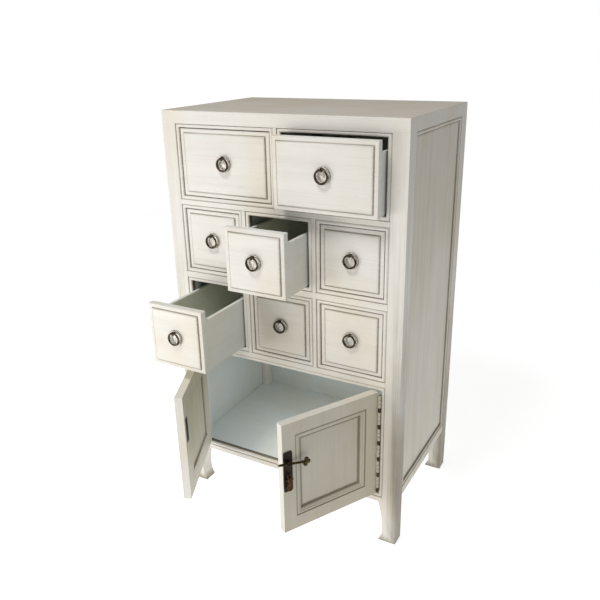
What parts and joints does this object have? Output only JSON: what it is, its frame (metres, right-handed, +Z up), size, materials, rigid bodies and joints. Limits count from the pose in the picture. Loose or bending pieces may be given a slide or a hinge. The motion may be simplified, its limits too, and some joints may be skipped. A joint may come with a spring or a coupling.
{
  "type": "apothecary cabinet",
  "caption": "Free-standing painted wooden apothecary cabinet on legs, with wide drawers over small drawers with ring pulls and a cupboard with framed doors and a bolt latch.",
  "frame": {"origin": "bottom centre of the bounding box of the cabinet as it stands, with three drawers and both doors part open; it lies on the case's centre plane, at floor level", "axes": "+Z up; +X to the right of someone who faces the cabinet; the drawers and doors face -Y"},
  "size_m": [0.56, 0.5796, 0.93],
  "materials": {
    "case_paint": "off-white paint with brown glaze in the recesses",
    "inner_paint": "grey-green paint",
    "box_paint": "grey paint, darker and greener inside",
    "plate_metal": "dull silvery grey with a dark rim",
    "iron": "dark brown, worn",
    "lock_iron": "near-black brown",
    "bolt_brass": "aged olive brass",
    "bronze": "dark bronze"
  },
  "bodies": {
    "case": {"post_front_left": "case_paint", "post_front_right": "case_paint", "post_back_left": "case_paint", "post_back_right": "case_paint", "top_panel": "case_paint", "shelf_row1": "case_paint", "shelf_row2": "case_paint", "shelf_row3": "case_paint", "bottom_board": "case_paint", "side_panel_left": "case_paint", "side_panel_right": "case_paint", "back_panel": "inner_paint", "divider_wide": "case_paint", "divider_left": "case_paint", "divider_right": "case_paint", "hinge_left": "iron", "hinge_right": "iron"},
    "drawer_r1c1": {"drawer_r1c1_front": "case_paint", "drawer_r1c1_box": "box_paint", "drawer_r1c1_plate": "plate_metal"},
    "ring_r1c1": {"drawer_r1c1_ring": "iron"},
    "drawer_r1c2": {"drawer_r1c2_front": "case_paint", "drawer_r1c2_box": "box_paint", "drawer_r1c2_plate": "plate_metal"},
    "ring_r1c2": {"drawer_r1c2_ring": "iron"},
    "drawer_r2c1": {"drawer_r2c1_front": "case_paint", "drawer_r2c1_box": "box_paint", "drawer_r2c1_plate": "plate_metal"},
    "ring_r2c1": {"drawer_r2c1_ring": "iron"},
    "drawer_r2c2": {"drawer_r2c2_front": "case_paint", "drawer_r2c2_box": "box_paint", "drawer_r2c2_plate": "plate_metal"},
    "ring_r2c2": {"drawer_r2c2_ring": "iron"},
    "drawer_r2c3": {"drawer_r2c3_front": "case_paint", "drawer_r2c3_box": "box_paint", "drawer_r2c3_plate": "plate_metal"},
    "ring_r2c3": {"drawer_r2c3_ring": "iron"},
    "drawer_r3c1": {"drawer_r3c1_front": "case_paint", "drawer_r3c1_box": "box_paint", "drawer_r3c1_plate": "plate_metal"},
    "ring_r3c1": {"drawer_r3c1_ring": "iron"},
    "drawer_r3c2": {"drawer_r3c2_front": "case_paint", "drawer_r3c2_box": "box_paint", "drawer_r3c2_plate": "plate_metal"},
    "ring_r3c2": {"drawer_r3c2_ring": "iron"},
    "drawer_r3c3": {"drawer_r3c3_front": "case_paint", "drawer_r3c3_box": "box_paint", "drawer_r3c3_plate": "plate_metal"},
    "ring_r3c3": {"drawer_r3c3_ring": "iron"},
    "door_left": {"door_left_frame": "case_paint", "door_left_panel": "case_paint", "strike_strip": "lock_iron"},
    "door_right": {"door_right_frame": "case_paint", "door_right_panel": "case_paint", "lock_plate": "lock_iron"},
    "drop_pull": {"drop_pull": "bronze"},
    "bolt": {"latch_bolt": "bolt_brass"}
  },
  "joints": [
    {"name": "drawer_r1c1_slide", "type": "slide", "parent": "case", "child": "drawer_r1c1", "axis": [0, -1, 0], "range_m": [0, 0.26]},
    {"name": "ring_r1c1_swing", "type": "hinge", "parent": "drawer_r1c1", "child": "ring_r1c1", "pos_m": [-0.125, -0.07252, 0.837], "axis": [-1, 0, 0], "range_deg": [0, 110]},
    {"name": "drawer_r1c2_slide", "type": "slide", "parent": "case", "child": "drawer_r1c2", "axis": [0, -1, 0], "range_m": [-0.038, 0.222]},
    {"name": "ring_r1c2_swing", "type": "hinge", "parent": "drawer_r1c2", "child": "ring_r1c2", "pos_m": [0.125, -0.11052, 0.837], "axis": [-1, 0, 0], "range_deg": [0, 110]},
    {"name": "drawer_r2c1_slide", "type": "slide", "parent": "case", "child": "drawer_r2c1", "axis": [0, -1, 0], "range_m": [0, 0.26]},
    {"name": "ring_r2c1_swing", "type": "hinge", "parent": "drawer_r2c1", "child": "ring_r2c1", "pos_m": [-0.16667, -0.07252, 0.6665], "axis": [-1, 0, 0], "range_deg": [0, 110]},
    {"name": "drawer_r2c2_slide", "type": "slide", "parent": "case", "child": "drawer_r2c2", "axis": [0, -1, 0], "range_m": [-0.095, 0.165]},
    {"name": "ring_r2c2_swing", "type": "hinge", "parent": "drawer_r2c2", "child": "ring_r2c2", "pos_m": [0, -0.16752, 0.6665], "axis": [-1, 0, 0], "range_deg": [0, 110]},
    {"name": "drawer_r2c3_slide", "type": "slide", "parent": "case", "child": "drawer_r2c3", "axis": [0, -1, 0], "range_m": [0, 0.26]},
    {"name": "ring_r2c3_swing", "type": "hinge", "parent": "drawer_r2c3", "child": "ring_r2c3", "pos_m": [0.16667, -0.07252, 0.6665], "axis": [-1, 0, 0], "range_deg": [0, 110]},
    {"name": "drawer_r3c1_slide", "type": "slide", "parent": "case", "child": "drawer_r3c1", "axis": [0, -1, 0], "range_m": [-0.153, 0.107]},
    {"name": "ring_r3c1_swing", "type": "hinge", "parent": "drawer_r3c1", "child": "ring_r3c1", "pos_m": [-0.16667, -0.22552, 0.495], "axis": [-1, 0, 0], "range_deg": [0, 110]},
    {"name": "drawer_r3c2_slide", "type": "slide", "parent": "case", "child": "drawer_r3c2", "axis": [0, -1, 0], "range_m": [0, 0.26]},
    {"name": "ring_r3c2_swing", "type": "hinge", "parent": "drawer_r3c2", "child": "ring_r3c2", "pos_m": [0, -0.07252, 0.495], "axis": [-1, 0, 0], "range_deg": [0, 110]},
    {"name": "drawer_r3c3_slide", "type": "slide", "parent": "case", "child": "drawer_r3c3", "axis": [0, -1, 0], "range_m": [0, 0.26]},
    {"name": "ring_r3c3_swing", "type": "hinge", "parent": "drawer_r3c3", "child": "ring_r3c3", "pos_m": [0.16667, -0.07252, 0.495], "axis": [-1, 0, 0], "range_deg": [0, 110]},
    {"name": "door_left_hinge", "type": "hinge", "parent": "case", "child": "door_left", "pos_m": [-0.236, -0.06872, 0.252], "axis": [0, 0, -1], "range_deg": [-65, 105]},
    {"name": "door_right_hinge", "type": "hinge", "parent": "case", "child": "door_right", "pos_m": [0.236, -0.06872, 0.252], "axis": [0, 0, 1], "range_deg": [-61, 109]},
    {"name": "drop_pull_swing", "type": "hinge", "parent": "door_right", "child": "drop_pull", "pos_m": [0.13039, -0.26544, 0.268], "axis": [-0.4848, -0.8746, 0], "range_deg": [0, 110]},
    {"name": "bolt_slide", "type": "slide", "parent": "door_right", "child": "bolt", "axis": [-0.4742, -0.8555, 0.2079], "range_m": [-0.022, 0.012]}
  ]
}
